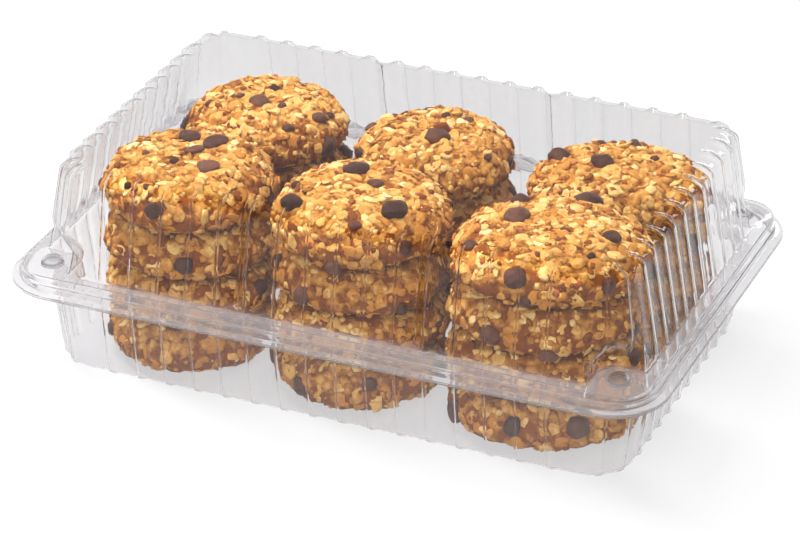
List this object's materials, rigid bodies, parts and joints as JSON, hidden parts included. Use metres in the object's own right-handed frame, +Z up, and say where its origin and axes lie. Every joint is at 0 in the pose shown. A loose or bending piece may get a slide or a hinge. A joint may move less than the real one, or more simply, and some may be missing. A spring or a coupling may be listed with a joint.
{
  "type": "hinged clamshell cookie pack",
  "caption": "Clear hinged clamshell pack with ribbed dome lid and tray, stepped snap rim and round corner studs, holding stacked oat and chocolate chip cookies.",
  "frame": {"origin": "middle of the underside, on the surface that the pack stands on", "axes": "+X along the pack's long side, +Y from the front towards the hinge, +Z up"},
  "size_m": [0.28, 0.185, 0.0885],
  "materials": {
    "clear_plastic": "clear gloss thermoformed sheet",
    "cookie": "baked oat dough, rough and dry"
  },
  "bodies": {
    "tray": {"tray": "clear_plastic", "cookie_front_left_1": "cookie", "cookie_front_left_2": "cookie", "cookie_front_left_3": "cookie", "cookie_front_left_4": "cookie", "cookie_front_middle_1": "cookie", "cookie_front_middle_2": "cookie", "cookie_front_middle_3": "cookie", "cookie_front_middle_4": "cookie", "cookie_front_right_1": "cookie", "cookie_front_right_2": "cookie", "cookie_front_right_3": "cookie", "cookie_front_right_4": "cookie", "cookie_back_left_1": "cookie", "cookie_back_left_2": "cookie", "cookie_back_left_3": "cookie", "cookie_back_left_4": "cookie", "cookie_back_middle_1": "cookie", "cookie_back_middle_2": "cookie", "cookie_back_middle_3": "cookie", "cookie_back_middle_4": "cookie", "cookie_back_right_1": "cookie", "cookie_back_right_2": "cookie", "cookie_back_right_3": "cookie", "cookie_back_right_4": "cookie"},
    "lid": {"lid": "clear_plastic"}
  },
  "joints": [
    {"name": "lid_hinge", "type": "hinge", "parent": "tray", "child": "lid", "pos_m": [0, 0.0925, 0.03925], "axis": [-1, 0, 0], "range_deg": [0, 160]}
  ]
}
